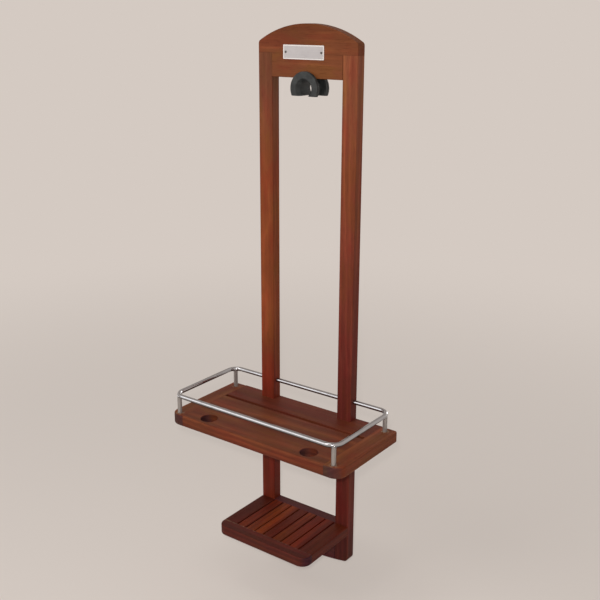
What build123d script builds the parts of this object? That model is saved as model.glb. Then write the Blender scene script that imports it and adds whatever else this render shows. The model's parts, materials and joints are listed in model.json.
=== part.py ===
"""Wooden shower caddy that hangs from a shower arm by a rubber saddle.

A tall arched frame carries a railed shelf and a slatted soap shelf. Sizes are millimetres. The origin is on
the arm's axis at the frame's mid-depth, with +X to the right, +Y towards the wall and +Z up.
"""

import os
from math import cos, radians, sin, sqrt, tan

from build123d import *

os.makedirs("parts", exist_ok=True)

# Frame: two stiles, an arched head and a bowed bottom board
frame_width = 175.0
stile_width = 25.0
stile_depth = 17.5
arch_rise = 25.5
arch_corner_round = 6.0
shoulder_height = 16.0
tongue_height = 34.0
bottom_height = 64.0
bottom_bow = 9.0
bottom_corner_round = 8.0
bottom_dowel_count = 2
frame_edge_round = 1.2

# Rubber saddle on the shower arm
arm_diameter = 21.3
waist_radius = 14.0
flange_radius = 24.3
flange_thickness = 6.5
flange_round = 2.0
mouth_radius = 14.5
mouth_depth = 5.0
saddle_leg_drop = 10.5
saddle_slot = 13.0
hang_clearance = 0.3
groove_clearance = 0.5

# Shelf: its top lies this far below the arm
shelf_drop = 500.0
shelf_width = 325.0
shelf_reach = 139.5
shelf_thickness = 18.0
shelf_end_width = 27.5
shelf_back_reach = 31.0
drain_slot = 6.5
shelf_front_round = 18.0
shelf_rear_round = 4.0
shelf_edge_round = 2.4
slot_edge_round = 0.8
front_board_dowel_count = 2
cup_hole_diameter = 27.0
cup_hole_front_wall = 6.0
cup_hole_end_wall = 25.5
cup_edge_round = 1.0

# Rail: a bent rod on four posts
rail_diameter = 7.0
rail_height = 31.0
rail_bend = 17.0
rail_side_inset = 9.5
rail_front_inset = 3.5
rail_hole_clearance = 0.1
rod_end_gap = 0.4
post_diameter = 7.0
post_bend_angle = 48.0
post_seat_depth = 6.0
weld_gap = 0.05

# Soap shelf: its top lies this far below the arm
soap_drop = 684.5
soap_reach = 117.5
soap_thickness = 16.0
soap_bar_depth = 19.0
soap_corner_round = 16.0
soap_edge_round = 1.8
slat_count = 7
slat_gap = 2.5
slat_thickness = 11.0
slat_edge_round = 1.0

# Name plate
plate_height = 20.0
plate_thickness = 0.8
plate_offset = -5.0
plate_above_tongue_edge = 36.0
plate_corner_round = 1.0
pin_spacing = 63.0
pin_to_plate_end = 4.5
pin_head_radius = 1.7
pin_head_height = 0.9
pin_head_round = 0.7
pin_radius = 0.8
pin_length = 10.0

# Dowels and screws
dowel_diameter = 8.0
dowel_depth = 16.0
small_dowel_diameter = 6.0
small_dowel_depth = 9.0
dowel_end_gap = 0.5
fit_clearance = 0.05
screw_diameter = 4.0
screw_head_diameter = 8.0
countersink_angle = 90.0
screw_recess = 0.4
screw_bite = 24.0
head_seat_clearance = 0.1
drive_width = 0.9
drive_length = 4.4
drive_depth = 1.2
post_screw_head_diameter = 8.0
post_screw_head_height = 2.6
post_screw_well_depth = 3.6
post_screw_bite = 11.0

# Edges nearer than this are taken to lie on the same line
same_place = 0.001

# Places that follow from the sizes above
half_depth = stile_depth / 2
half_width = frame_width / 2
inner_x = half_width - stile_width
stile_x = half_width - stile_width / 2
head_low = waist_radius + hang_clearance
seam_z = head_low + tongue_height
corner_z = seam_z + shoulder_height
peak_z = corner_z + arch_rise

shelf_top = -shelf_drop
shelf_mid = shelf_top - shelf_thickness / 2
shelf_low = shelf_top - shelf_thickness
shelf_front = -half_depth - shelf_reach
shelf_half = shelf_width / 2
board_x = shelf_half - shelf_end_width
back_board_front = -half_depth - shelf_back_reach
front_board_back = back_board_front - drain_slot
cup_hole_x = board_x - cup_hole_end_wall - cup_hole_diameter / 2
cup_hole_y = shelf_front + cup_hole_front_wall + cup_hole_diameter / 2

rail_z = shelf_top + rail_height
rail_x = shelf_half - rail_side_inset
rail_front = shelf_front + rail_front_inset
post_x = rail_x - rail_bend * (1 - cos(radians(post_bend_angle)))
post_front = rail_front + rail_bend * (1 - sin(radians(post_bend_angle)))
post_rear = -rail_bend * (1 - sin(radians(post_bend_angle)))
post_low = shelf_top - post_seat_depth

soap_top = -soap_drop
soap_mid = soap_top - soap_thickness / 2
soap_low = soap_top - soap_thickness
soap_front = -half_depth - soap_reach
bar_back = soap_front + soap_bar_depth
slat_pitch = (2 * inner_x - slat_gap) / slat_count
slat_width = slat_pitch - slat_gap
slat_mid = soap_top - slat_thickness / 2
slat_places = [(i - (slat_count - 1) / 2) * slat_pitch for i in range(slat_count)]

bottom_corner_z = soap_top - bottom_height
bottom_z = bottom_corner_z - bottom_bow
bow_radius = (half_width**2 + bottom_bow**2) / (2 * bottom_bow)

plate_width = pin_spacing + 2 * pin_to_plate_end
plate_z = head_low + plate_above_tongue_edge
plate_face = -half_depth - plate_thickness
dowel_radius = dowel_diameter / 2
small_dowel_radius = small_dowel_diameter / 2
screw_radius = screw_diameter / 2
cone_slope = tan(radians(countersink_angle / 2))
head_cone_height = (screw_head_diameter - screw_diameter) / 2 / cone_slope
sink_radius = screw_head_diameter / 2 + screw_recess * cone_slope + head_seat_clearance
cup_back = cup_hole_y + cup_hole_diameter / 2
front_dowel_step = (front_board_back - cup_back) / (front_board_dowel_count + 1)
front_dowel_places = [cup_back + (i + 1) * front_dowel_step for i in range(front_board_dowel_count)]
back_dowel_place = back_board_front + shelf_back_reach / 2
shelf_dowel_places = [*front_dowel_places, back_dowel_place]
bottom_dowel_step = bottom_height / (bottom_dowel_count + 1)
bottom_dowel_places = [soap_top - (i + 1) * bottom_dowel_step for i in range(bottom_dowel_count)]


def save(builder, name):
    """Labels a finished piece and writes it under its name."""
    builder.part.label = name
    export_step(builder.part, f"parts/{name}.step")


def facing(x, y, z, direction):
    """A plane at a point whose normal points out of the wood, so that holes run inwards."""
    return Plane(origin=(x, y, z), z_dir=direction)


def bow_z(x):
    """Height of the frame's bowed lower edge at a distance from the middle."""
    return bottom_z + bow_radius - sqrt(bow_radius**2 - x**2)


# Head board: full width above the stile tops, a tongue between them below
with BuildPart() as head_board:
    with BuildSketch(Plane.XZ) as head_outline:
        with BuildLine():
            Polyline(
                (half_width, corner_z),
                (half_width, seam_z),
                (inner_x, seam_z),
                (inner_x, head_low),
                (-inner_x, head_low),
                (-inner_x, seam_z),
                (-half_width, seam_z),
                (-half_width, corner_z),
            )
            ThreePointArc((-half_width, corner_z), (0, peak_z), (half_width, corner_z))
        make_face()
        arch_ends = head_outline.vertices().filter_by(lambda v: abs(v.Y - corner_z) < same_place)
        fillet(arch_ends, arch_corner_round)
    extrude(amount=half_depth, both=True)
    rims = head_board.faces().filter_by(Axis.Y).edges()
    shown_rims = rims.filter_by(
        lambda e: e.center().Z > seam_z + same_place or abs(e.center().Z - head_low) < same_place
    )
    fillet(shown_rims, frame_edge_round)
    with Locations(*[facing(side * stile_x, 0, seam_z, (0, 0, -1)) for side in (-1, 1)]):
        Hole(dowel_radius + fit_clearance, dowel_depth + dowel_end_gap)
    pin_places = [plate_offset + side * pin_spacing / 2 for side in (-1, 1)]
    with Locations(*[facing(x, -half_depth, plate_z, (0, -1, 0)) for x in pin_places]):
        Hole(pin_radius + fit_clearance, pin_length - plate_thickness + dowel_end_gap)
save(head_board, "head_board")

with BuildPart() as head_dowels:
    with Locations(*[(side * stile_x, 0, seam_z) for side in (-1, 1)]):
        Cylinder(dowel_radius, 2 * dowel_depth)
save(head_dowels, "head_dowels")

# Stiles: bored for the rail, the dowels and the screws from behind
with BuildPart() as right_stile:
    with BuildSketch(Plane.XZ) as stile_outline:
        with BuildLine():
            Polyline(
                (inner_x, bow_z(inner_x)),
                (inner_x, seam_z),
                (half_width, seam_z),
                (half_width, bottom_corner_z),
            )
            ThreePointArc((half_width, bottom_corner_z), (stile_x, bow_z(stile_x)), (inner_x, bow_z(inner_x)))
        make_face()
        foot = stile_outline.vertices().group_by(Axis.X)[-1].sort_by(Axis.Y)[0]
        fillet(foot, bottom_corner_round)
    extrude(amount=half_depth, both=True)
    rims = right_stile.faces().filter_by(Axis.Y).edges()
    low_rims = rims.filter_by(lambda e: e.center().Z < seam_z - same_place)
    fillet(low_rims.filter_by(lambda e: e.center().X > inner_x + same_place), frame_edge_round)
    inner_rims = right_stile.faces().filter_by(Axis.Y).edges().group_by(Axis.X)[0]
    fillet(inner_rims, frame_edge_round)
    with Locations(facing(stile_x, 0, seam_z, (0, 0, 1))):
        Hole(dowel_radius + fit_clearance, dowel_depth + dowel_end_gap)
    with Locations(facing(stile_x, 0, rail_z, (1, 0, 0))):
        Hole(rail_diameter / 2 + rail_hole_clearance, stile_width)
    with Locations(*[facing(inner_x, 0, z, (-1, 0, 0)) for z in bottom_dowel_places]):
        Hole(dowel_radius + fit_clearance, dowel_depth + dowel_end_gap)
    with Locations(*[facing(stile_x, half_depth, z, (0, 1, 0)) for z in (shelf_mid, soap_mid)]):
        CounterSinkHole(screw_radius + fit_clearance, sink_radius, stile_depth, countersink_angle)
save(right_stile, "right_stile")

with BuildPart() as left_stile:
    mirror(right_stile.part, about=Plane.YZ)
save(left_stile, "left_stile")

# Bottom board: level with the soap shelf's top, bowed below
with BuildPart() as bottom_board:
    with BuildSketch(Plane.XZ):
        with BuildLine():
            Polyline(
                (inner_x, bow_z(inner_x)),
                (inner_x, soap_top),
                (-inner_x, soap_top),
                (-inner_x, bow_z(inner_x)),
            )
            ThreePointArc((-inner_x, bow_z(inner_x)), (0, bottom_z), (inner_x, bow_z(inner_x)))
        make_face()
    extrude(amount=half_depth, both=True)
    long_rims = bottom_board.faces().filter_by(Axis.Y).edges().filter_by(Axis.Z, reverse=True)
    shown_rims = long_rims.filter_by(lambda e: e.center().Y > 0 or e.center().Z < soap_top - same_place)
    fillet(shown_rims, frame_edge_round)
    for side in (-1, 1):
        with Locations(*[facing(side * inner_x, 0, z, (side, 0, 0)) for z in bottom_dowel_places]):
            Hole(dowel_radius + fit_clearance, dowel_depth + dowel_end_gap)
    with Locations(*[facing(x, -half_depth, slat_mid, (0, -1, 0)) for x in slat_places]):
        Hole(small_dowel_radius + fit_clearance, small_dowel_depth + dowel_end_gap)
save(bottom_board, "bottom_board")

with BuildPart() as bottom_dowels:
    for side in (-1, 1):
        with Locations(*[facing(side * inner_x, 0, z, (side, 0, 0)) for z in bottom_dowel_places]):
            Cylinder(dowel_radius, 2 * dowel_depth)
save(bottom_dowels, "bottom_dowels")

# Shelf boards: a wide front board with two cup holes, and a rear board notched round the stiles
with BuildPart() as shelf_front_board:
    with BuildSketch(Plane.XY.offset(shelf_low)):
        with Locations((0, (shelf_front + front_board_back) / 2)):
            Rectangle(2 * board_x, front_board_back - shelf_front)
        with Locations((-cup_hole_x, cup_hole_y), (cup_hole_x, cup_hole_y)):
            Circle(cup_hole_diameter / 2, mode=Mode.SUBTRACT)
    extrude(amount=shelf_thickness)
    long_edges = shelf_front_board.edges().filter_by(Axis.X)
    cup_rims = shelf_front_board.edges().filter_by(GeomType.CIRCLE)
    fillet(long_edges.group_by(Axis.Y)[0], shelf_edge_round)
    fillet(shelf_front_board.edges().filter_by(Axis.X).group_by(Axis.Y)[-1], slot_edge_round)
    fillet(cup_rims, cup_edge_round)
    for side in (-1, 1):
        with Locations(*[facing(side * board_x, y, shelf_mid, (side, 0, 0)) for y in front_dowel_places]):
            Hole(dowel_radius + fit_clearance, dowel_depth + dowel_end_gap)
save(shelf_front_board, "shelf_front_board")

with BuildPart() as shelf_back_board:
    with BuildSketch(Plane.XY.offset(shelf_low)):
        with Locations((0, (back_board_front + half_depth) / 2)):
            Rectangle(2 * board_x, half_depth - back_board_front)
        with Locations((-stile_x, 0), (stile_x, 0)):
            Rectangle(stile_width, stile_depth, mode=Mode.SUBTRACT)
    extrude(amount=shelf_thickness)
    long_edges = shelf_back_board.edges().filter_by(Axis.X)
    fillet(long_edges.group_by(Axis.Y)[0], slot_edge_round)
    fillet(shelf_back_board.edges().filter_by(Axis.X).group_by(Axis.Y)[-1], slot_edge_round)
    for side in (-1, 1):
        with Locations(facing(side * board_x, back_dowel_place, shelf_mid, (side, 0, 0))):
            Hole(dowel_radius + fit_clearance, dowel_depth + dowel_end_gap)
    with Locations(*[facing(side * stile_x, -half_depth, shelf_mid, (0, 1, 0)) for side in (-1, 1)]):
        Hole(screw_radius + fit_clearance, screw_bite + dowel_end_gap)
save(shelf_back_board, "shelf_back_board")

# End boards: they run from front to back, with the posts' seats and the wells for the screws below
with BuildPart() as shelf_right_end:
    with BuildSketch(Plane.XY.offset(shelf_low)) as end_outline:
        with Locations(((board_x + shelf_half) / 2, (shelf_front + half_depth) / 2)):
            Rectangle(shelf_end_width, half_depth - shelf_front)
        fillet(end_outline.vertices().group_by(Axis.X)[-1].sort_by(Axis.Y)[0], shelf_front_round)
        fillet(end_outline.vertices().group_by(Axis.X)[-1].sort_by(Axis.Y)[-1], shelf_rear_round)
    extrude(amount=shelf_thickness)
    level_rims = shelf_right_end.faces().filter_by(Axis.Z).edges()
    fillet(level_rims.filter_by(lambda e: e.center().X > board_x + same_place), shelf_edge_round)
    post_places = [(post_x, post_front), (post_x, post_rear)]
    with Locations(*[facing(x, y, shelf_top, (0, 0, 1)) for x, y in post_places]):
        Hole(post_diameter / 2 + fit_clearance, post_seat_depth)
    with Locations(*[facing(x, y, shelf_low, (0, 0, -1)) for x, y in post_places]):
        CounterBoreHole(
            screw_radius + fit_clearance,
            post_screw_head_diameter / 2 + head_seat_clearance,
            post_screw_well_depth,
            shelf_thickness,
        )
    with Locations(*[facing(board_x, y, shelf_mid, (-1, 0, 0)) for y in shelf_dowel_places]):
        Hole(dowel_radius + fit_clearance, dowel_depth + dowel_end_gap)
save(shelf_right_end, "shelf_right_end")

with BuildPart() as shelf_left_end:
    mirror(shelf_right_end.part, about=Plane.YZ)
save(shelf_left_end, "shelf_left_end")

with BuildPart() as shelf_dowels:
    for side in (-1, 1):
        with Locations(*[facing(side * board_x, y, shelf_mid, (side, 0, 0)) for y in shelf_dowel_places]):
            Cylinder(dowel_radius, 2 * dowel_depth)
save(shelf_dowels, "shelf_dowels")


def back_screws(height):
    """Countersunk screws driven from the backs of both stiles at one height."""
    with BuildPart() as screws:
        heads = [facing(side * stile_x, half_depth - screw_recess, height, (0, 1, 0)) for side in (-1, 1)]
        with Locations(*heads):
            Cylinder(
                screw_radius,
                stile_depth - screw_recess + screw_bite,
                align=(Align.CENTER, Align.CENTER, Align.MAX),
            )
            Cone(
                screw_radius,
                screw_head_diameter / 2,
                head_cone_height,
                align=(Align.CENTER, Align.CENTER, Align.MAX),
            )
            Box(drive_length, drive_width, 2 * drive_depth, mode=Mode.SUBTRACT)
            Box(drive_width, drive_length, 2 * drive_depth, mode=Mode.SUBTRACT)
    return screws


shelf_screws = back_screws(shelf_mid)
save(shelf_screws, "shelf_screws")

# Rail: one rod bent round the shelf and through both stiles, its ends meeting inside the right stile
with BuildPart() as rail_loop:
    with BuildLine() as rail_path:
        FilletPolyline(
            (stile_x + rod_end_gap / 2, 0, rail_z),
            (rail_x, 0, rail_z),
            (rail_x, rail_front, rail_z),
            (-rail_x, rail_front, rail_z),
            (-rail_x, 0, rail_z),
            (stile_x - rod_end_gap / 2, 0, rail_z),
            radius=rail_bend,
        )
    with BuildSketch(Plane(origin=rail_path.line @ 0, z_dir=rail_path.line % 0)):
        Circle(rail_diameter / 2)
    sweep()
save(rail_loop, "rail_loop")

# Posts: seated in the end boards, their tops shaped to the rod above
post_names = {
    "front_left_post": (-post_x, post_front),
    "front_right_post": (post_x, post_front),
    "rear_left_post": (-post_x, post_rear),
    "rear_right_post": (post_x, post_rear),
}
for post_name, (x, y) in post_names.items():
    with BuildPart() as post:
        with Locations((x, y, post_low)):
            Cylinder(
                post_diameter / 2,
                rail_z - post_low,
                align=(Align.CENTER, Align.CENTER, Align.MIN),
            )
        with Locations(facing(x, y, post_low, (0, 0, -1))):
            Hole(screw_radius + fit_clearance, post_screw_bite + dowel_end_gap)
        with BuildSketch(Plane(origin=rail_path.line @ 0, z_dir=rail_path.line % 0)):
            Circle(rail_diameter / 2 + weld_gap)
        sweep(path=rail_path.line, mode=Mode.SUBTRACT)
    save(post, post_name)

with BuildPart() as post_screws:
    well_roof = shelf_low + post_screw_well_depth
    with Locations(*[(x, y, well_roof) for x, y in post_names.values()]):
        Cylinder(
            screw_radius,
            post_low - well_roof + post_screw_bite,
            align=(Align.CENTER, Align.CENTER, Align.MIN),
        )
        Cylinder(
            post_screw_head_diameter / 2,
            post_screw_head_height,
            align=(Align.CENTER, Align.CENTER, Align.MAX),
        )
    with Locations(*[(x, y, well_roof - post_screw_head_height) for x, y in post_names.values()]):
        Box(drive_length, drive_width, 2 * drive_depth, mode=Mode.SUBTRACT)
        Box(drive_width, drive_length, 2 * drive_depth, mode=Mode.SUBTRACT)
save(post_screws, "post_screws")

# Soap shelf: a front bar, two side rails in line with the stiles, and slats between them
with BuildPart() as soap_front_bar:
    with BuildSketch(Plane.XY.offset(soap_low)) as bar_outline:
        with Locations((0, (soap_front + bar_back) / 2)):
            Rectangle(frame_width, soap_bar_depth)
        fillet(bar_outline.vertices().group_by(Axis.Y)[0], soap_corner_round)
    extrude(amount=soap_thickness)
    level_rims = soap_front_bar.faces().filter_by(Axis.Z).edges()
    fillet(level_rims.filter_by(lambda e: e.center().Y < bar_back - same_place), soap_edge_round)
    with Locations(*[facing(x, bar_back, slat_mid, (0, 1, 0)) for x in slat_places]):
        Hole(small_dowel_radius + fit_clearance, small_dowel_depth + dowel_end_gap)
    with Locations(*[facing(side * stile_x, bar_back, soap_mid, (0, 1, 0)) for side in (-1, 1)]):
        Hole(small_dowel_radius + fit_clearance, small_dowel_depth + dowel_end_gap)
save(soap_front_bar, "soap_front_bar")

with BuildPart() as soap_right_side:
    with BuildSketch(Plane.XY.offset(soap_low)):
        with Locations((stile_x, (bar_back - half_depth) / 2)):
            Rectangle(stile_width, -half_depth - bar_back)
    extrude(amount=soap_thickness)
    long_edges = soap_right_side.edges().filter_by(Axis.Y)
    fillet(long_edges.group_by(Axis.X)[-1], soap_edge_round)
    fillet(soap_right_side.edges().filter_by(Axis.Y).group_by(Axis.X)[0], slat_edge_round)
    with Locations(facing(stile_x, bar_back, soap_mid, (0, -1, 0))):
        Hole(small_dowel_radius + fit_clearance, small_dowel_depth + dowel_end_gap)
    with Locations(facing(stile_x, -half_depth, soap_mid, (0, 1, 0))):
        Hole(screw_radius + fit_clearance, screw_bite + dowel_end_gap)
save(soap_right_side, "soap_right_side")

with BuildPart() as soap_left_side:
    mirror(soap_right_side.part, about=Plane.YZ)
save(soap_left_side, "soap_left_side")

for number, x in enumerate(slat_places, start=1):
    with BuildPart() as slat:
        with BuildSketch(Plane.XY.offset(soap_top - slat_thickness)):
            with Locations((x, (bar_back - half_depth) / 2)):
                Rectangle(slat_width, -half_depth - bar_back)
        extrude(amount=slat_thickness)
        fillet(slat.edges().filter_by(Axis.Y), slat_edge_round)
        for y, outward in ((bar_back, -1), (-half_depth, 1)):
            with Locations(facing(x, y, slat_mid, (0, outward, 0))):
                Hole(small_dowel_radius + fit_clearance, small_dowel_depth + dowel_end_gap)
    save(slat, f"soap_slat_{number}")

with BuildPart() as slat_dowels:
    for y in (bar_back, -half_depth):
        with Locations(*[facing(x, y, slat_mid, (0, 1, 0)) for x in slat_places]):
            Cylinder(small_dowel_radius, 2 * small_dowel_depth)
save(slat_dowels, "slat_dowels")

with BuildPart() as side_dowels:
    with Locations(*[facing(side * stile_x, bar_back, soap_mid, (0, 1, 0)) for side in (-1, 1)]):
        Cylinder(small_dowel_radius, 2 * small_dowel_depth)
save(side_dowels, "side_dowels")

soap_screws = back_screws(soap_mid)
save(soap_screws, "soap_screws")

# Name plate: a bare plate held by two domed pins
with BuildPart() as name_plate:
    with BuildSketch(Plane.XZ.offset(half_depth)):
        with Locations((plate_offset, plate_z)):
            RectangleRounded(plate_width, plate_height, plate_corner_round)
        with Locations(*[(x, plate_z) for x in pin_places]):
            Circle(pin_radius + fit_clearance, mode=Mode.SUBTRACT)
    extrude(amount=plate_thickness)
save(name_plate, "name_plate")

with BuildPart() as plate_pins:
    with Locations(*[facing(x, plate_face, plate_z, (0, -1, 0)) for x in pin_places]):
        Cylinder(pin_radius, pin_length, align=(Align.CENTER, Align.CENTER, Align.MAX))
        Cylinder(pin_head_radius, pin_head_height, align=(Align.CENTER, Align.CENTER, Align.MIN))
    head_faces = plate_pins.faces().filter_by(Axis.Y).group_by(Axis.Y)[0]
    fillet(head_faces.edges(), pin_head_round)
save(plate_pins, "plate_pins")

# Saddle: a grooved rubber spool, open below so that it snaps over the arm
with BuildPart() as arm_saddle:
    groove_half = half_depth + groove_clearance
    saddle_end = groove_half + flange_thickness
    arm_radius = arm_diameter / 2
    with BuildSketch(Plane.XY):
        with BuildLine():
            Polyline(
                (arm_radius, mouth_depth - saddle_end),
                (mouth_radius, -saddle_end),
                (flange_radius, -saddle_end),
                (flange_radius, -groove_half),
                (waist_radius, -groove_half),
                (waist_radius, groove_half),
                (flange_radius, groove_half),
                (flange_radius, saddle_end),
                (arm_radius, saddle_end),
                close=True,
            )
        make_face()
    revolve(axis=Axis.Y)
    rim_edges = arm_saddle.edges().filter_by(GeomType.CIRCLE)
    fillet(rim_edges.filter_by(lambda e: abs(e.radius - flange_radius) < same_place), flange_round)
    with BuildSketch(Plane.XZ.offset(-saddle_end)):
        with Locations((0, -saddle_leg_drop)):
            Rectangle(2 * flange_radius, flange_radius, align=(Align.CENTER, Align.MAX))
        Rectangle(saddle_slot, flange_radius, align=(Align.CENTER, Align.MAX))
    extrude(amount=2 * saddle_end, mode=Mode.SUBTRACT)
save(arm_saddle, "arm_saddle")
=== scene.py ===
"""Looks of a hanging wooden shower caddy: oiled teak boards, a satin steel rail and a rubber saddle."""

import json
import math

import bpy
from mathutils import Euler, Matrix, Vector


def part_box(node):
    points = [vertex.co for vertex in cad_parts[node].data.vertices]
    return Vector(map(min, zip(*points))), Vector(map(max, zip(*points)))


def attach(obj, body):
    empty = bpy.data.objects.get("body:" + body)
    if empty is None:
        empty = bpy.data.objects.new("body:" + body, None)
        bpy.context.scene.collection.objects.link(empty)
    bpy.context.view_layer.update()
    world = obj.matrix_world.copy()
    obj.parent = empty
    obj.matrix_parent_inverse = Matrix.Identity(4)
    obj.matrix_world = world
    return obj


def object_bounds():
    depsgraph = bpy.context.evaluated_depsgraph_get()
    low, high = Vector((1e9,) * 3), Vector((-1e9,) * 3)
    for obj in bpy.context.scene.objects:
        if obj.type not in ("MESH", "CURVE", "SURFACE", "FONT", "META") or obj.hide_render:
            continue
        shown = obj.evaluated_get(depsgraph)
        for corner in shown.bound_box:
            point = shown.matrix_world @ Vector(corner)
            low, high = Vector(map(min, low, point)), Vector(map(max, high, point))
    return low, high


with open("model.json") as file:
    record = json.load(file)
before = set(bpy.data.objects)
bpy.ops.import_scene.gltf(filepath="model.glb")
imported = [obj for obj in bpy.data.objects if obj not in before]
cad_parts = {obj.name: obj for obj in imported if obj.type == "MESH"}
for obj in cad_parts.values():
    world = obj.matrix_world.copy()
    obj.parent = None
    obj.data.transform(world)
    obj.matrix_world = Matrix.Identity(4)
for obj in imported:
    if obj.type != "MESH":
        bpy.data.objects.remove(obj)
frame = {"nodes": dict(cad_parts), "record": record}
nodes = frame["nodes"]
cad_low, cad_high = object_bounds()
MM = 0.001

# Places of the joints, read from the boards themselves
stile_low, stile_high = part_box("right_stile")
stile_inner_x = stile_low.x
shoulder_z = stile_high.z
head_lower_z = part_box("head_board")[0].z
shelf_board_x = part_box("shelf_front_board")[1].x
shelf_top_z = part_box("shelf_front_board")[1].z
soap_bar_back_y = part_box("soap_front_bar")[1].y
soap_top_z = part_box("soap_front_bar")[1].z
rail_low, rail_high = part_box("rail_loop")
rod_radius = (rail_high.z - rail_low.z) / 2
rail_z = (rail_high.z + rail_low.z) / 2
plate_low, plate_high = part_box("name_plate")
openings = {row["name"]: row["box_m"] for row in frame["record"]["physics"]["openings"]}
cup_low, cup_high = (Vector(corner) for corner in openings["right_cup_hole"])
cup_place = (cup_low + cup_high) / 2
POSTS = ("front_left_post", "front_right_post", "rear_left_post", "rear_right_post")
post_places = {node: (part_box(node)[0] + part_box(node)[1]) / 2 for node in POSTS}

# Camera, as placed by the photograph's perspective; angles in degrees, lens and sensor in millimetres
CAMERA_PLACE = (0.79961, -1.10061, 0.10655)
CAMERA_PITCH_DOWN = 17.437
CAMERA_TURN = 36.548
CAMERA_ROLL = 0.2
CAMERA_LENS = 55.23
CAMERA_SENSOR = 36.0


# Node building


def pick(sockets, key):
    """The socket with this identifier, or else with this name or number."""
    if isinstance(key, int):
        return sockets[key]
    for socket in sockets:
        if socket.identifier == key:
            return socket
    return sockets[key]


def add_node(tree, kind, settings=None, sockets=None):
    """Adds a node with its settings, then its sockets' values or links."""
    made = tree.nodes.new(kind)
    for key, setting in (settings or {}).items():
        setattr(made, key, setting)
    for key, value in (sockets or {}).items():
        target = pick(made.inputs, key)
        if isinstance(value, bpy.types.NodeSocket):
            tree.links.new(value, target)
        else:
            target.default_value = value
    return made


class Value:
    """A shader socket that stands in plain arithmetic: each step adds a Math node."""

    def __init__(self, finish, socket):
        self.finish = finish
        self.socket = socket

    def output(self, key):
        """Another output of the node that this value comes from."""
        return Value(self.finish, pick(self.socket.node.outputs, key))

    def __add__(self, other):
        return self.finish.maths("ADD", self, other)

    def __radd__(self, other):
        return self.finish.maths("ADD", other, self)

    def __sub__(self, other):
        return self.finish.maths("SUBTRACT", self, other)

    def __rsub__(self, other):
        return self.finish.maths("SUBTRACT", other, self)

    def __mul__(self, other):
        return self.finish.maths("MULTIPLY", self, other)

    def __rmul__(self, other):
        return self.finish.maths("MULTIPLY", other, self)

    def __truediv__(self, other):
        return self.finish.maths("DIVIDE", self, other)

    def __abs__(self):
        return self.finish.maths("ABSOLUTE", self)

    def __pow__(self, other):
        return self.finish.maths("POWER", self, other)


class Finish:
    """A material under construction."""

    def __init__(self, name):
        self.material = bpy.data.materials.new(name)
        self.material.use_nodes = True
        self.tree = self.material.node_tree
        self.tree.nodes.clear()

    def node(self, kind, settings=None, sockets=None, output=0):
        """Adds a node and gives one of its outputs, if it has any."""
        plain = {key: getattr(value, "socket", value) for key, value in (sockets or {}).items()}
        made = add_node(self.tree, kind, settings, plain)
        return Value(self, pick(made.outputs, output)) if len(made.outputs) else None

    def maths(self, operation, *values):
        return self.node("ShaderNodeMath", {"operation": operation}, dict(enumerate(values)))

    def largest(self, first, *others):
        """The largest of some values."""
        for other in others:
            first = self.maths("MAXIMUM", first, other)
        return first

    def distance(self, first, second):
        """The length of a plane vector with these two parts."""
        return self.maths("SQRT", first * first + second * second)

    def split(self, vector):
        """The three parts of a vector."""
        x = self.node("ShaderNodeSeparateXYZ", sockets={"Vector": vector}, output="X")
        return x, x.output("Y"), x.output("Z")

    def place(self):
        """The three object coordinates, in metres."""
        return self.split(self.node("ShaderNodeTexCoord", output="Object"))

    def facing(self):
        """The three parts of the surface's own normal."""
        return self.split(self.node("ShaderNodeTexCoord", output="Normal"))

    def vector(self, x, y, z):
        return self.node("ShaderNodeCombineXYZ", sockets={"X": x, "Y": y, "Z": z})

    def noise(self, vector, scale=1.0, detail=2.0, roughness=0.5):
        sockets = {"Vector": vector, "Scale": scale, "Detail": detail, "Roughness": roughness}
        return self.node("ShaderNodeTexNoise", sockets=sockets)

    def step(self, value, low, high):
        """0 below low, 1 above high, smooth between; low may lie above high."""
        sockets = {"Value": value, "From Min": low, "From Max": high}
        return self.node("ShaderNodeMapRange", {"interpolation_type": "SMOOTHSTEP"}, sockets)

    def drawn_lines(self, place, repeats, **kind):
        """Noise drawn out into lines, by its repeats per metre along the three axes."""
        return self.noise(self.vector(*(part * count for part, count in zip(place, repeats))), **kind)

    def line(self, value, at, half_width):
        """1 on the line where a value passes a place, 0 away from it."""
        return self.step(abs(value - at), half_width, half_width / 3)

    def mix(self, share, first, second, blend="MIX"):
        """Two colours mixed by a share."""
        settings = {"data_type": "RGBA", "blend_type": blend}
        sockets = {"Factor_Float": share, "A_Color": first, "B_Color": second}
        return self.node("ShaderNodeMix", settings, sockets, "Result_Color")

    def between(self, share, tones):
        """A tone that lies between two by a share."""
        first, second = tones
        return self.mix(share, colour(*first), colour(*second))

    def tint(self, share, base, tint):
        """A colour multiplied by a tint, as far as the share goes."""
        return self.mix(share, base, colour(*tint), "MULTIPLY")

    def surface(self, bump=None, bump_depth=0.0, **sockets):
        """Ends the material in one Principled shader."""
        if bump is not None:
            heights = {"Height": bump, "Distance": bump_depth, "Strength": 1.0}
            sockets["Normal"] = self.node("ShaderNodeBump", sockets=heights)
        named = {key.replace("_", " "): value for key, value in sockets.items()}
        shader = self.node("ShaderNodeBsdfPrincipled", sockets=named)
        self.node("ShaderNodeOutputMaterial", sockets={"Surface": shader})
        return self.material


def colour(red, green, blue):
    return (red, green, blue, 1.0)


# Teak: rings about a far-off pith, long fibres, fine pores, darker end grain and rubbed edges

PLAIN_LOOK = {
    "ring_gap": 4.2 * MM,
    "ring_share": 0.34,
    "streak": 0.35,
    "streaks_per_metre": 95.0,
    "end_tint": (0.52, 0.74, 1.65),
    "mottle": 0.5,
    "hue_share": 0.75,
    "fades": (),
    "bored": None,
    "film": None,
}

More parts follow.
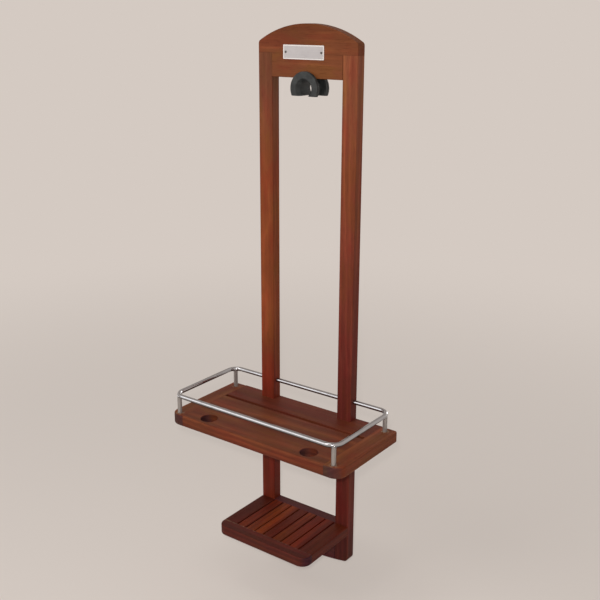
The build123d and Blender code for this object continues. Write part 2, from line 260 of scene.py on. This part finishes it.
# Noise patterns as repeats per metre, along the grain and across it
WANDER_SCALE = (5.0, 16.0)
FIBRE_SCALE = (9.0, 620.0)
STREAK_SCALE_ALONG = 3.0
PORE_SCALE = (70.0, 1900.0)
HUE_SCALE = (14.0, 48.0)
CLOUD_SCALE = 16.0

# How far the patterns move on from one board to the next
SEED_SHIFT = 0.37

# Rings: the pith's least distance and its step from board to board, across the board and through it
PITH_ACROSS = (45.0 * MM, 21.0 * MM)
PITH_THROUGH = (30.0 * MM, 13.0 * MM)
GRAIN_LEAN = 0.02
RING_WANDER_ACROSS = 22.0 * MM
RING_WANDER_THROUGH = 12.0 * MM
RING_NOISE_SCALE = 70.0
RING_UNEVENNESS = 3.0
RING_SHARPNESS = 1.6

# Where a noise or a slope starts to count and where it counts in full
FIBRE_BAND = (0.3, 0.7)
STREAK_BAND = (0.32, 0.68)
PORE_BAND = (0.6, 0.74)
REDDER_BAND = (0.5, 0.66)
YELLOWER_BAND = (0.5, 0.36)
END_GRAIN_BAND = (0.25, 0.85)
EDGE_BAND = (0.03, 0.2)
RUBBED_BAND = (0.35, 0.62)

# Shares in the wood's tone, and the tints that lie over it
FIBRE_SHARE = 0.22
TONE_OFFSET = 0.12
PORE_SHARE = 0.45
RUBBED_SHARE = 0.22
SEAM_SHARE = 0.45
REDDER_TINT = (1.03, 0.76, 0.84)
YELLOWER_TINT = (0.98, 1.14, 0.82)
PORE_TINT = (0.35, 0.27, 0.25)
SEAM_TINT = (0.25, 0.2, 0.2)
BORE_SHADE_TINT = (0.7, 0.55, 0.62)
FILM_COLOUR = (0.34, 0.24, 0.15)

# Relief and gloss: how far each pattern lifts or sinks the surface, and how far it roughens it
GRAIN_RELIEF = 0.12 * MM
FIBRE_LIFT = 0.5
RING_LIFT = 0.25
PORE_SINK = 0.8
OILED_ROUGHNESS = 0.42
FIBRE_ROUGHNESS = 0.2
PORE_ROUGHNESS = 0.15
END_GRAIN_ROUGHNESS = 0.12
OILED_GLOSS = 0.11


def pith_place(seed):
    """Where the rings' centre lies beside a board: right or left of it, near or far, by its seed."""
    nearest, step = PITH_ACROSS
    side = 1 if seed % 2 else -1
    across = side * (nearest + step * (seed % 5))
    nearest, step = PITH_THROUGH
    return across, nearest + step * (seed % 3)


def teak(name, grain, pale, deep, seed, seam=None, **look):
    """Oiled teak whose grain runs along one axis; the seed moves the pattern, so no two boards are alike."""
    look = {**PLAIN_LOOK, **look}
    finish = Finish(name)
    x, y, z = finish.place()
    facing = dict(zip("xyz", finish.facing()))
    along, across, through = {"x": (x, y, z), "y": (y, x, z), "z": (z, x, y)}[grain]
    shift = SEED_SHIFT * seed

    def grain_noise(scale, offset, **kind):
        """Noise drawn out along the grain."""
        length, width = scale
        spot = finish.vector(along * length + offset, across * width, through * width)
        return finish.noise(spot, **kind)

    wander = grain_noise(WANDER_SCALE, shift, detail=3.0) - 0.5
    pith_across, pith_through = pith_place(seed)
    lean = GRAIN_LEAN * (seed % 4 - 1.5)
    ring_across = across - pith_across + along * lean + wander * RING_WANDER_ACROSS
    ring_through = through + pith_through + wander * RING_WANDER_THROUGH
    ring_radius = finish.distance(ring_across, ring_through)
    uneven = finish.noise(finish.vector(ring_radius * RING_NOISE_SCALE, shift, 0.0))
    turns = ring_radius / look["ring_gap"] + uneven * RING_UNEVENNESS
    ring = finish.maths("PINGPONG", turns, 1.0) ** RING_SHARPNESS

    fibre = grain_noise(FIBRE_SCALE, shift, detail=4.0, roughness=0.65)
    streak = grain_noise((STREAK_SCALE_ALONG, look["streaks_per_metre"]), shift)
    pores = finish.step(grain_noise(PORE_SCALE, shift, detail=1.0), *PORE_BAND)
    hue = grain_noise(HUE_SCALE, -shift, detail=3.0)
    cloud = finish.noise(finish.vector(x + shift, y, z), CLOUD_SCALE)

    tone = ring * look["ring_share"] + finish.step(fibre, *FIBRE_BAND) * FIBRE_SHARE
    tone = tone + finish.step(streak, *STREAK_BAND) * look["streak"]
    tone = tone + (cloud - 0.5) * look["mottle"] - TONE_OFFSET
    wood = finish.between(finish.step(tone, 0.0, 1.0), (deep, pale))
    wood = finish.tint(finish.step(hue, *REDDER_BAND) * look["hue_share"], wood, REDDER_TINT)
    wood = finish.tint(finish.step(hue, *YELLOWER_BAND) * look["hue_share"], wood, YELLOWER_TINT)
    # height fades: some are painted shade, some shift the hue
    for start, end, tint in look["fades"]:
        wood = finish.tint(finish.step(z, start, end), wood, tint)
    wood = finish.tint(pores * PORE_SHARE, wood, PORE_TINT)

    end_grain = finish.step(abs(facing[grain]), *END_GRAIN_BAND)
    wood = finish.tint(end_grain, wood, look["end_tint"])
    flat_part = finish.largest(abs(facing["x"]), abs(facing["y"]), abs(facing["z"]))
    rubbed = finish.step(1 - flat_part, *EDGE_BAND) * finish.step(cloud, *RUBBED_BAND)
    wood = finish.mix(rubbed * RUBBED_SHARE, wood, colour(*pale))
    if seam:
        wood = finish.tint(seam(finish, x, y, z) * SEAM_SHARE, wood, SEAM_TINT)
    if look["film"]:
        wood = finish.mix(look["film"](finish, x, y, z), wood, colour(*FILM_COLOUR))
    # painted shade inside the cup holes
    if look["bored"]:
        wood = finish.tint(look["bored"](finish, x, y, z), wood, BORE_SHADE_TINT)

    roughness = OILED_ROUGHNESS + (1 - fibre) * FIBRE_ROUGHNESS + pores * PORE_ROUGHNESS
    return finish.surface(
        bump=fibre * FIBRE_LIFT + ring * RING_LIFT - pores * PORE_SINK,
        bump_depth=GRAIN_RELIEF,
        Base_Color=wood,
        Roughness=roughness + end_grain * END_GRAIN_ROUGHNESS,
        Specular_IOR_Level=OILED_GLOSS,
    )


# Marks on the boards: painted shade on bored walls, soap film and joint lines

SEAM_WIDTH = 0.4 * MM
CUP_HOLE_RADIUS = 13.5 * MM
CUP_EDGE_ROUND = 1.0 * MM
FILM_SCALE = 230.0
FILM_BAND = (0.43, 0.58)
POST_FILM_REACH = (9.0 * MM, 4.0 * MM)
POST_FILM_SHARE = 0.55
JOINT_FILM_REACH = 2.5 * MM
JOINT_FILM_SHARE = 0.15
JOINT_FILM_LEFT_SHARE = 0.4


def cup_walls(finish, x, y, z):
    """Painted shade on the walls of the two cup holes, darker inside the recess."""
    distance = finish.distance(abs(x) - cup_place.x, y - cup_place.y)
    return finish.step(distance, CUP_HOLE_RADIUS + CUP_EDGE_ROUND, CUP_HOLE_RADIUS)


def film_patches(finish, x, y, z):
    """Broken patches, the way soap film dries."""
    return finish.step(finish.noise(finish.vector(x, y, z), FILM_SCALE), *FILM_BAND)


def post_film(finish, x, y, z):
    """Pale film on the shelf round the feet of the posts."""
    near = 0.0
    for node in ("front_right_post", "rear_right_post"):
        place = post_places[node]
        distance = finish.distance(abs(x) - place.x, y - place.y)
        near = finish.largest(near, finish.step(distance, *POST_FILM_REACH))
    on_top = finish.step(z, shelf_top_z - MM, shelf_top_z)
    return near * film_patches(finish, x, y, z) * on_top * POST_FILM_SHARE


def bar_film(finish, x, y, z):
    """Pale film along the joint of the front bar with the slats, thickest near its left end."""
    near = finish.step(y, soap_bar_back_y - JOINT_FILM_REACH, soap_bar_back_y)
    left = finish.step(x, 0.0, -stile_inner_x)
    return near * film_patches(finish, x, y, z) * (JOINT_FILM_SHARE + left * JOINT_FILM_LEFT_SHARE)


def head_seam(finish, x, y, z):
    """The head's joint lines with the stiles: level at the shoulders, upright beside the tongue."""
    upright = finish.line(abs(x), stile_inner_x, SEAM_WIDTH) * finish.step(z, shoulder_z, shoulder_z - MM)
    return finish.largest(upright, finish.line(z, shoulder_z, SEAM_WIDTH))


def stile_seam(finish, x, y, z):
    """A stile's joint lines with the head and with the bottom board."""
    beside_tongue = finish.step(z, head_lower_z, head_lower_z + MM)
    beside_board = finish.step(z, soap_top_z, soap_top_z - MM)
    upright = finish.line(abs(x), stile_inner_x, SEAM_WIDTH) * (beside_tongue + beside_board)
    return finish.largest(upright, finish.line(z, shoulder_z, SEAM_WIDTH))


def bottom_seam(finish, x, y, z):
    return finish.line(abs(x), stile_inner_x, SEAM_WIDTH)


def shelf_seam(finish, x, y, z):
    return finish.line(abs(x), shelf_board_x, SEAM_WIDTH)


def soap_seam(finish, x, y, z):
    return finish.line(y, soap_bar_back_y, SEAM_WIDTH)


# Tones of the boards; a fade runs from one height to another and ends in a tint; the fades over the head's
# arch and below the shelves are painted shade, those near the head's lower edge shift the hue

HEAD_TONES = {
    "pale": (0.315, 0.094, 0.033),
    "deep": (0.17, 0.05, 0.018),
    "streak": 0.16,
    "ring_share": 0.22,
    "mottle": 0.8,
    "end_tint": (0.95, 0.95, 0.95),
    # painted shade: the head darkens towards the top of its arch, where less light falls
    "fades": [(shoulder_z - 0.01, cad_high.z, (0.76, 0.7, 0.62))],
}
LEFT_STILE_TONES = {
    "pale": (0.335, 0.082, 0.026),
    "deep": (0.18, 0.041, 0.012),
    "streak": 0.28,
    "fades": [
        # painted shade: darker and redder below the shelf, as in its shade
        (shelf_top_z + 0.18, shelf_top_z - 0.03, (0.72, 0.4, 0.58)),
        (head_lower_z - 0.16, head_lower_z, (0.72, 0.97, 1.42)),
    ],
}
RIGHT_STILE_TONES = {
    "pale": (0.345, 0.088, 0.035),
    "deep": (0.186, 0.043, 0.0175),
    "streak": 0.28,
    "fades": [
        # painted shade: darker down towards the shelf as the light falls off, and darker again below the
        # soap shelf
        (shelf_top_z + 0.55, shelf_top_z + 0.02, (0.6, 0.42, 0.72)),
        (soap_top_z + 0.02, soap_top_z - 0.03, (0.6, 0.6, 0.66)),
        (head_lower_z - 0.16, head_lower_z, (0.97, 1.18, 1.22)),
    ],
}
SHELF_TONES = {
    "pale": (0.25, 0.067, 0.0245),
    "deep": (0.117, 0.029, 0.0125),
    "streak": 0.3,
    "bored": cup_walls,
}
BACK_BOARD_TONES = {"pale": (0.2035, 0.0436, 0.0205), "deep": (0.102, 0.0202, 0.0098), "streak": 0.3}
END_TONES = {
    "pale": (0.28, 0.08, 0.028),
    "deep": (0.15, 0.038, 0.0145),
    "streak": 0.2,
    "end_tint": (0.45, 0.65, 1.5),
    "film": post_film,
}
SOAP_BAR_TONES = {
    "pale": (0.155, 0.028, 0.017),
    "deep": (0.072, 0.014, 0.0095),
    "streak": 0.3,
    "film": bar_film,
}
SOAP_SIDE_TONES = {"pale": (0.158, 0.0242, 0.0096), "deep": (0.079, 0.0116, 0.0058), "streak": 0.25}
BOTTOM_TONES = {"pale": (0.13, 0.031, 0.028), "deep": (0.073, 0.016, 0.0165)}
SLAT_WARM_TONES = {
    "pale": (0.258, 0.0445, 0.0076),
    "deep": (0.107, 0.0165, 0.0049),
    "streak": 0.36,
    "streaks_per_metre": 210.0,
}
SLAT_DARK_TONES = {
    "pale": (0.222, 0.0272, 0.0068),
    "deep": (0.099, 0.012, 0.0042),
    "streak": 0.34,
    "streaks_per_metre": 210.0,
}
DOWEL_TONES = {"pale": (0.52, 0.36, 0.21), "deep": (0.36, 0.22, 0.12)}

# Each board's grain, tones and joint lines
BOARDS = {
    "head_board": ("x", HEAD_TONES, head_seam),
    "left_stile": ("z", LEFT_STILE_TONES, stile_seam),
    "right_stile": ("z", RIGHT_STILE_TONES, stile_seam),
    "bottom_board": ("x", BOTTOM_TONES, bottom_seam),
    "shelf_front_board": ("x", SHELF_TONES, shelf_seam),
    "shelf_back_board": ("x", BACK_BOARD_TONES, shelf_seam),
    "shelf_left_end": ("y", END_TONES, shelf_seam),
    "shelf_right_end": ("y", END_TONES, shelf_seam),
    "soap_front_bar": ("x", SOAP_BAR_TONES, soap_seam),
    "soap_left_side": ("y", SOAP_SIDE_TONES, soap_seam),
    "soap_right_side": ("y", SOAP_SIDE_TONES, soap_seam),
    "soap_slat_1": ("y", SLAT_DARK_TONES, None),
    "soap_slat_2": ("y", SLAT_WARM_TONES, None),
    "soap_slat_3": ("y", SLAT_WARM_TONES, None),
    "soap_slat_4": ("y", SLAT_DARK_TONES, None),
    "soap_slat_5": ("y", SLAT_WARM_TONES, None),
    "soap_slat_6": ("y", SLAT_DARK_TONES, None),
    "soap_slat_7": ("y", SLAT_DARK_TONES, None),
    "head_dowels": ("z", DOWEL_TONES, None),
    "bottom_dowels": ("x", DOWEL_TONES, None),
    "shelf_dowels": ("x", DOWEL_TONES, None),
    "slat_dowels": ("y", DOWEL_TONES, None),
    "side_dowels": ("y", DOWEL_TONES, None),
}


# Metals and rubber: patterns as repeats per metre, and pairs of tones between which they go

RAIL_LINES = (40.0, 40.0, 1600.0)
RAIL_PATCH_SCALE = 55.0
RAIL_DULLED_BAND = (0.45, 0.7)
RAIL_TONES = ((0.5, 0.505, 0.53), (0.4, 0.4, 0.415))
# Painted reflection on the rod's top: upward faces are darkened, as if mirroring a darker ceiling
RAIL_TOP_REFLECTION_BAND = (0.7, 0.97)
RAIL_TOP_REFLECTION_SHARE = 0.55
RAIL_TOP_REFLECTION_COLOUR = (0.2, 0.185, 0.18)
# Painted shade and reflection on the rod's underside: downward faces are darkened as if shadowed and
# mirroring the dark wood below, more on the front run
UNDERSIDE_SHADE_BAND = (0.12, -0.42)
UNDERSIDE_SHADE_SHARE = 0.5
UNDERSIDE_SHADE_COLOUR = (0.035, 0.03, 0.03)
FRONT_RUN_SHADE = (-20.0 * MM, -100.0 * MM)
FRONT_RUN_SHADE_SHARE = 0.42

POST_LINES = (900.0, 900.0, 30.0)
POST_WATER_SCALE = 120.0
POST_TONES = ((0.26, 0.235, 0.217), (0.41, 0.37, 0.345))

SCREW_SCALE = 700.0
SCREW_TONES = ((0.36, 0.35, 0.34), (0.58, 0.57, 0.55))

PLATE_LINES = (35.0, 35.0, 4200.0)
PLATE_WATER_SCALE = 60.0
PLATE_TONES = ((0.286, 0.27, 0.271), (0.48, 0.45, 0.446))
PLATE_RIM = 1.6 * MM
PLATE_RIM_EDGE = 0.3 * MM
PLATE_RIM_SINK = 3.0
PLATE_RIM_COLOUR = (0.52, 0.49, 0.47)
PLATE_RELIEF = 0.01 * MM

PIN_SCALE = 900.0
PIN_TONES = ((0.05, 0.047, 0.045), (0.16, 0.15, 0.145))

RUBBER_GRAIN_SCALE = 1500.0
RUBBER_BLOOM_SCALE = 90.0
RUBBER_BLOOM_BAND = (0.4, 0.7)
RUBBER_TONES = ((0.016, 0.018, 0.018), (0.038, 0.041, 0.041))
RUBBER_RELIEF = 0.04 * MM
RUBBER_GLOSS = 0.35


def rail_steel(name):
    """Polished rod with drawn lines and duller patches; painted reflection darkens its top, and painted
    shade and reflection of the wood below darken its underside, most of it in front.
    """
    finish = Finish(name)
    x, y, z = finish.place()
    upward = finish.facing()[2]
    drawn = finish.drawn_lines((x, y, z), RAIL_LINES)
    dulled = finish.step(finish.noise(finish.vector(x, y, z), RAIL_PATCH_SCALE), *RAIL_DULLED_BAND)
    tone = finish.between(dulled * 0.7 + drawn * 0.3, RAIL_TONES)
    # painted reflection: the rod's upward faces are darkened, as if mirroring a darker ceiling
    top_reflection = finish.step(upward, *RAIL_TOP_REFLECTION_BAND) * RAIL_TOP_REFLECTION_SHARE
    tone = finish.mix(top_reflection, tone, colour(*RAIL_TOP_REFLECTION_COLOUR))
    # painted shade: the underside darkens, most along the front run over the shelf
    front_shade_share = UNDERSIDE_SHADE_SHARE + finish.step(y, *FRONT_RUN_SHADE) * FRONT_RUN_SHADE_SHARE
    underside_shade = finish.step(upward, *UNDERSIDE_SHADE_BAND) * front_shade_share
    tone = finish.mix(underside_shade, tone, colour(*UNDERSIDE_SHADE_COLOUR))
    return finish.surface(Base_Color=tone, Metallic=1.0, Roughness=0.15 + drawn * 0.03 + dulled * 0.07)


def post_steel(name):
    """Duller rod for the posts, with upright drawn lines and a water film."""
    finish = Finish(name)
    place = finish.place()
    drawn = finish.drawn_lines(place, POST_LINES)
    film = finish.noise(finish.vector(*place), POST_WATER_SCALE)
    tone = finish.between(drawn * 0.6 + film * 0.4, POST_TONES)
    return finish.surface(Base_Color=tone, Metallic=0.45, Roughness=0.26 + film * 0.12)


def screw_steel(name):
    """Plain zinc-grey screw steel, a little darker in its grain."""
    finish = Finish(name)
    mottle = finish.noise(finish.vector(*finish.place()), SCREW_SCALE, detail=3.0)
    tone = finish.between(mottle, SCREW_TONES)
    return finish.surface(Base_Color=tone, Metallic=1.0, Roughness=0.28 + mottle * 0.2)


def plate_metal(name):
    """Pale brushed plate with level brush lines and a narrow polished rim."""
    finish = Finish(name)
    x, y, z = finish.place()
    middle = (plate_low + plate_high) / 2
    half = (plate_high - plate_low) / 2
    side = abs(x - middle.x) - (half.x - PLATE_RIM)
    end = abs(z - middle.z) - (half.z - PLATE_RIM)
    rim = finish.step(finish.largest(side, end), -PLATE_RIM_EDGE, PLATE_RIM_EDGE)
    brush = finish.drawn_lines((x, y, z), PLATE_LINES, detail=3.0, roughness=0.65)
    film = finish.noise(finish.vector(x, y, z), PLATE_WATER_SCALE)
    field = finish.between(brush * 0.6 + film * 0.4, PLATE_TONES)
    return finish.surface(
        bump=brush - rim * PLATE_RIM_SINK,
        bump_depth=PLATE_RELIEF,
        Base_Color=finish.mix(rim, field, colour(*PLATE_RIM_COLOUR)),
        Metallic=0.75,
        Roughness=0.3 + brush * 0.16 - rim * 0.1,
    )


def pin_metal(name):
    """Dull dark pin heads, a little mottled."""
    finish = Finish(name)
    mottle = finish.noise(finish.vector(*finish.place()), PIN_SCALE)
    tone = finish.between(mottle, PIN_TONES)
    return finish.surface(Base_Color=tone, Metallic=1.0, Roughness=0.35 + mottle * 0.15)


def saddle_rubber(name):
    """Moulded black rubber with a fine matt grain and a greyed bloom."""
    finish = Finish(name)
    spot = finish.vector(*finish.place())
    grain = finish.noise(spot, RUBBER_GRAIN_SCALE)
    bloom = finish.step(finish.noise(spot, RUBBER_BLOOM_SCALE, detail=3.0), *RUBBER_BLOOM_BAND)
    return finish.surface(
        bump=grain,
        bump_depth=RUBBER_RELIEF,
        Base_Color=finish.between(bloom, RUBBER_TONES),
        Roughness=0.46 + bloom * 0.14 + grain * 0.08,
        Specular_IOR_Level=RUBBER_GLOSS,
    )


METALS = {
    rail_steel: ["rail_loop"],
    post_steel: POSTS,
    screw_steel: ["shelf_screws", "soap_screws", "post_screws"],
    plate_metal: ["name_plate"],
    pin_metal: ["plate_pins"],
    saddle_rubber: ["arm_saddle"],
}


def dress_nodes():
    """Gives every CAD node its finish, one teak pattern to each board."""
    for seed, (node, (grain, tones, seam)) in enumerate(BOARDS.items(), start=1):
        nodes[node].material_slots[0].material = teak("teak_" + node, grain, seed=seed, seam=seam, **tones)
    made = {}
    for build, names in METALS.items():
        made[build] = build(build.__name__)
        for node in names:
            nodes[node].material_slots[0].material = made[build]
    return made


# Weld beads where the posts meet the rod

BEAD_RADIUS = 0.9 * MM
BEAD_LOW_SHARE = 0.25
BEAD_RING_STEPS = 48
BEAD_PROFILE_STEPS = 12


def weld_points():
    """Each post's top under the rod's centre line, with the turn of the rod there."""
    rail_x = rail_high.x - rod_radius
    rail_front = rail_low.y + rod_radius
    points = []
    turns = []
    for node, middle in post_places.items():
        in_front = node.startswith("front")
        side_in = rail_x - abs(middle.x)
        end_in = middle.y - rail_front if in_front else -middle.y
        # The radius of the bend that touches both straight runs and passes over the post
        bend = side_in + end_in + math.sqrt(2 * side_in * end_in)
        out_x = math.copysign(bend - side_in, middle.x)
        out_y = (bend - end_in) * (-1 if in_front else 1)
        points.append((middle.x, middle.y, rail_z))
        turns.append(math.atan2(out_x, -out_y))
    return points, turns


def weld_tree(material):
    """A bead round the joint of two equal rods: low along the rod, level with its middle at the sides."""
    tree = bpy.data.node_groups.new("weld_bead", "GeometryNodeTree")
    for name, kind, direction in (
        ("Geometry", "NodeSocketGeometry", "INPUT"),
        ("Rod Radius", "NodeSocketFloat", "INPUT"),
        ("Bead Radius", "NodeSocketFloat", "INPUT"),
        ("Geometry", "NodeSocketGeometry", "OUTPUT"),
    ):
        tree.interface.new_socket(name=name, in_out=direction, socket_type=kind)

    def output(kind, settings=None, **sockets):
        named = {key.replace("_", " "): value for key, value in sockets.items()}
        return add_node(tree, kind, settings, named).outputs[0]

    def maths(operation, *values):
        return add_node(tree, "ShaderNodeMath", {"operation": operation}, dict(enumerate(values))).outputs[0]

    sizes = add_node(tree, "NodeGroupInput").outputs
    rod = sizes["Rod Radius"]
    ring = output("GeometryNodeCurvePrimitiveCircle", Resolution=BEAD_RING_STEPS, Radius=rod)
    spot = output("GeometryNodeInputPosition")
    parts = add_node(tree, "ShaderNodeSeparateXYZ", sockets={"Vector": spot}).outputs
    aside = maths("ABSOLUTE", parts["X"])
    draped = output("ShaderNodeCombineXYZ", X=parts["X"], Y=parts["Y"], Z=maths("MULTIPLY", aside, -1.0))
    bent_ring = output("GeometryNodeSetPosition", Geometry=ring, Position=draped)
    share = maths("MULTIPLY", maths("DIVIDE", aside, rod), 1.0 - BEAD_LOW_SHARE)
    swell = maths("ADD", share, BEAD_LOW_SHARE)
    swelled = output("GeometryNodeSetCurveRadius", Curve=bent_ring, Radius=swell)
    profile = output(
        "GeometryNodeCurvePrimitiveCircle", Resolution=BEAD_PROFILE_STEPS, Radius=sizes["Bead Radius"]
    )
    bead = output("GeometryNodeCurveToMesh", Curve=swelled, Profile_Curve=profile, Scale=swell)
    turn = output("GeometryNodeInputNamedAttribute", {"data_type": "FLOAT"}, Name="turn")
    spin = output("ShaderNodeCombineXYZ", Z=turn)
    placed = output("GeometryNodeInstanceOnPoints", Points=sizes["Geometry"], Instance=bead, Rotation=spin)
    real = output("GeometryNodeRealizeInstances", Geometry=placed)
    smooth = output("GeometryNodeSetShadeSmooth", Geometry=real)
    painted = output("GeometryNodeSetMaterial", Geometry=smooth, Material=material)
    add_node(tree, "NodeGroupOutput", sockets={"Geometry": painted})
    return tree


def rail_welds(material):
    """The four beads as one plain mesh."""
    points, turns = weld_points()
    seed_mesh = bpy.data.meshes.new("weld_places")
    seed_mesh.from_pydata(points, [], [])
    seed_mesh.attributes.new("turn", "FLOAT", "POINT").data.foreach_set("value", turns)
    maker = bpy.data.objects.new("weld_maker", seed_mesh)
    bpy.context.scene.collection.objects.link(maker)
    modifier = maker.modifiers.new("beads", "NODES")
    modifier.node_group = weld_tree(material)
    sizes = {"Rod Radius": rod_radius, "Bead Radius": BEAD_RADIUS}
    for item in modifier.node_group.interface.items_tree:
        if item.name in sizes:
            modifier[item.identifier] = sizes[item.name]
    bpy.context.view_layer.update()
    shaped = maker.evaluated_get(bpy.context.evaluated_depsgraph_get())
    mesh = bpy.data.meshes.new_from_object(shaped)
    maker.modifiers.clear()
    bpy.data.objects.remove(maker)
    welds = bpy.data.objects.new("rail_welds", mesh)
    bpy.context.scene.collection.objects.link(welds)
    return welds


# Stage, light and camera; lengths in metres

FLOOR_GAP = 0.045
FLOOR_HALF = 20.0
FLOOR_COLOUR = (0.82, 0.745, 0.69)
BACKGROUND = (0.66, 0.59, 0.54)
SHADE_REACH = (0.35, 2.2)
NEAR_BACKGROUND_SHARE = 0.5
WORLD_TINT = (1.0, 0.98, 0.96)
WORLD_STRENGTH = 0.31

# Each lamp's place and aim, its disc's diameter, its watts and its tint
LAMPS = {
    "key": ((-0.35, -1.5, 0.7), (0.0, -0.02, -0.2), 0.6, 4.6, (1.0, 0.97, 0.94)),
    "front": ((0.79, -1.12, 0.155), (0.0, -0.02, -0.25), 0.03, 8.5, (1.0, 0.98, 0.96)),
    "top": ((-0.2, -0.5, 1.2), (0.0, -0.05, -0.45), 0.6, 3.2, (1.0, 0.985, 0.96)),
    "fill": ((-0.9, -1.25, 0.15), (0.0, -0.1, -0.45), 1.15, 4.0, (0.96, 0.98, 1.0)),
    "back": ((0.0, 3.4, 0.1), (0.0, 0.0, -0.35), 1.2, 22.0, (1.0, 0.98, 0.96)),
}


def floor_finish():
    """Pale floor: it keeps its shade near the object, and fades into the plain background further off."""
    finish = Finish("pale_floor")
    x, y, z = finish.place()
    far = finish.step(finish.distance(x, y), *SHADE_REACH)
    ray = finish.node("ShaderNodeLightPath", output="Is Camera Ray")
    seen = finish.largest(ray, ray.output("Is Glossy Ray"), ray.output("Is Transmission Ray"))
    share = seen * (NEAR_BACKGROUND_SHARE + far * (1.0 - NEAR_BACKGROUND_SHARE))
    matt = finish.node("ShaderNodeBsdfDiffuse", sockets={"Color": colour(*FLOOR_COLOUR)})
    plain = finish.node("ShaderNodeEmission", sockets={"Color": colour(*BACKGROUND), "Strength": 1.0})
    both = finish.node("ShaderNodeMixShader", sockets={0: share, 1: matt, 2: plain})
    finish.node("ShaderNodeOutputMaterial", sockets={"Surface": both})
    return finish.material


def add_floor():
    height = cad_low.z - FLOOR_GAP
    corners = [(sx * FLOOR_HALF, sy * FLOOR_HALF, height) for sx, sy in ((-1, -1), (1, -1), (1, 1), (-1, 1))]
    mesh = bpy.data.meshes.new("floor")
    mesh.from_pydata(corners, [], [(0, 1, 2, 3)])
    mesh.materials.append(floor_finish())
    floor = bpy.data.objects.new("floor", mesh)
    bpy.context.scene.collection.objects.link(floor)


def add_world():
    """Soft even light, and the plain background where it is seen or mirrored."""
    world = bpy.data.worlds.new("studio")
    bpy.context.scene.world = world
    world.use_nodes = True
    tree = world.node_tree
    tree.nodes.clear()
    ray = add_node(tree, "ShaderNodeLightPath").outputs
    seen = ray["Is Camera Ray"]
    for name in ("Is Glossy Ray", "Is Transmission Ray"):
        seen = add_node(tree, "ShaderNodeMath", {"operation": "MAXIMUM"}, {0: seen, 1: ray[name]}).outputs[0]
    soft = {"Color": colour(*WORLD_TINT), "Strength": WORLD_STRENGTH}
    light = add_node(tree, "ShaderNodeBackground", sockets=soft).outputs[0]
    shown = add_node(tree, "ShaderNodeBackground", sockets={"Color": colour(*BACKGROUND)}).outputs[0]
    blend = add_node(tree, "ShaderNodeMixShader", sockets={0: seen, 1: light, 2: shown}).outputs[0]
    add_node(tree, "ShaderNodeOutputWorld", sockets={"Surface": blend})


def add_lamp(name, place, aim, size, power, tint):
    data = bpy.data.lights.new(name, "AREA")
    data.shape = "DISK"
    data.size = size
    data.energy = power
    data.color = tint
    lamp = bpy.data.objects.new(name, data)
    lamp.location = place
    lamp.rotation_euler = (Vector(aim) - Vector(place)).to_track_quat("-Z", "Y").to_euler()
    bpy.context.scene.collection.objects.link(lamp)


def add_camera():
    data = bpy.data.cameras.new("camera")
    data.sensor_width = CAMERA_SENSOR
    data.lens = CAMERA_LENS
    camera = bpy.data.objects.new("camera", data)
    camera.location = CAMERA_PLACE
    level = Euler((math.radians(90.0 - CAMERA_PITCH_DOWN), 0.0, math.radians(CAMERA_TURN))).to_matrix()
    camera.rotation_euler = (level @ Matrix.Rotation(math.radians(CAMERA_ROLL), 3, "Z")).to_euler()
    bpy.context.scene.collection.objects.link(camera)
    bpy.context.scene.camera = camera


add_camera()
add_world()
for lamp_name, lamp_row in LAMPS.items():
    add_lamp(lamp_name, *lamp_row)
add_floor()
finishes = dress_nodes()
welds = rail_welds(finishes[rail_steel])
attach(welds, "caddy")
bpy.context.scene.view_settings.view_transform = "Standard"
